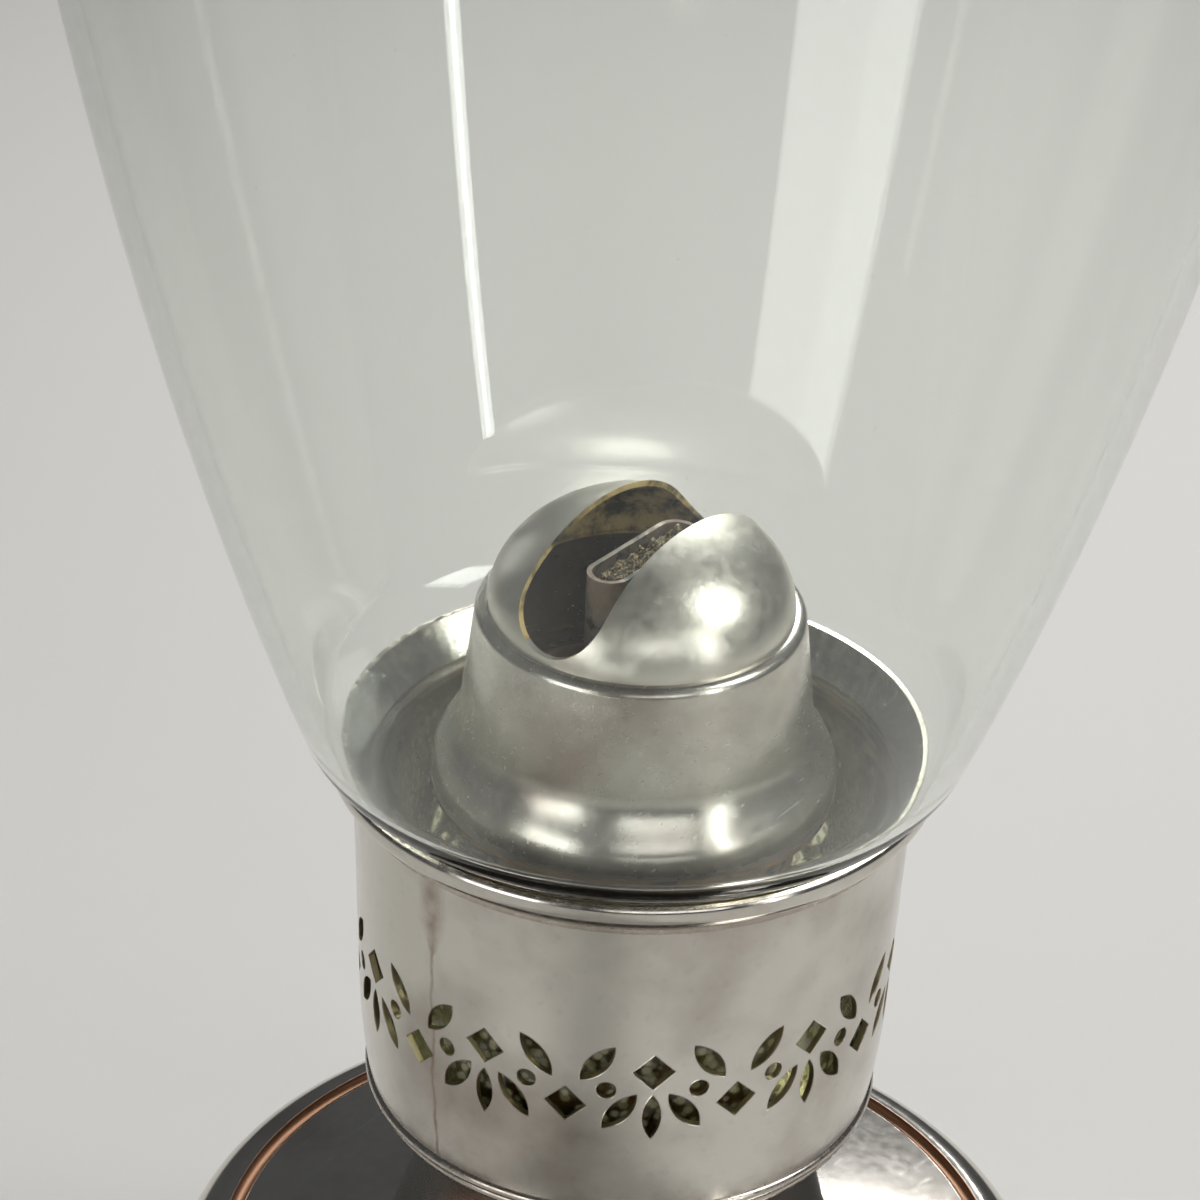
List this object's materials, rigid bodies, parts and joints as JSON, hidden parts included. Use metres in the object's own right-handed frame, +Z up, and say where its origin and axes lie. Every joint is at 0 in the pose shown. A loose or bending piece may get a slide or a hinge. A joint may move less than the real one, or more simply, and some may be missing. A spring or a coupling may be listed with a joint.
{
  "type": "oil lamp",
  "caption": "Table oil lamp: round silver-plated font, drawn-in neck, pierced gallery with a flared rim, slotted burner cap over a flat wick, and a bell-shaped glass shade.",
  "frame": {"origin": "centre of the foot, on the table", "axes": "+Z up along the lamp's axis; +X along the width of the wick, towards the winder's knob"},
  "size_m": [0.1506, 0.1506, 0.287],
  "materials": {
    "silver_plate": "worn silver plate over brass, with tarnish and copper showing at the edges",
    "burner_brass": "tarnished brass, sooty near the wick",
    "spindle_steel": "turned steel",
    "clear_glass": "clear glass, faintly green in its thick edges",
    "wick_cotton": "woven cotton, charred at the top",
    "seal_leather": "oiled leather washer"
  },
  "bodies": {
    "font": {"font_lower_shell": "silver_plate", "font_upper_shell": "silver_plate", "foot_ring": "silver_plate", "font_collar": "burner_brass"},
    "seal": {"seal_ring": "seal_leather"},
    "burner": {"burner_collar": "burner_brass", "neck": "silver_plate", "gallery_floor": "silver_plate", "gallery_bottom_ring": "silver_plate", "gallery_band": "silver_plate", "gallery_top_rim": "silver_plate", "shade_rests": "burner_brass", "draught_drum": "burner_brass", "cap_seat_ring": "burner_brass", "wick_tube": "burner_brass", "winder_bracket": "burner_brass", "bracket_rivets": "burner_brass", "spindle_bush": "burner_brass"},
    "winder": {"winder_spindle": "spindle_steel", "spur_wheels": "burner_brass", "spindle_collar": "burner_brass", "winder_knob": "silver_plate", "knob_screw": "spindle_steel"},
    "wick": {"wick": "wick_cotton"},
    "cap": {"cap_skirt": "silver_plate", "cap_dome": "silver_plate"},
    "shade": {"glass_shade": "clear_glass"}
  },
  "joints": [
    {"name": "burner_rise", "type": "slide", "parent": "font", "child": "seal", "axis": [0, 0, 1], "range_m": [0, 0.008]},
    {"name": "burner_turn", "type": "hinge", "parent": "seal", "child": "burner", "pos_m": [0, 0, 0.05], "axis": [0, 0, 1], "range_deg": [0, 1440]},
    {"name": "winder_turn", "type": "hinge", "parent": "burner", "child": "winder", "pos_m": [0, 0.0069, 0.0637], "axis": [-1, 0, 0], "range_deg": [-45.5, 114.5]},
    {"name": "wick_rise", "type": "slide", "parent": "burner", "child": "wick", "axis": [0, 0, 1], "range_m": [-0.004, 0.01]},
    {"name": "cap_lift", "type": "slide", "parent": "burner", "child": "cap", "axis": [0, 0, 1], "range_m": [0, 0.06]},
    {"name": "shade_lift", "type": "slide", "parent": "burner", "child": "shade", "axis": [0, 0, 1], "range_m": [0, 0.12]}
  ],
  "couplings": [
    {"joint": "burner_rise", "follows": "burner_turn", "m_per_rad": 0.0003183},
    {"joint": "wick_rise", "follows": "winder_turn", "m_per_rad": 0.005}
  ]
}
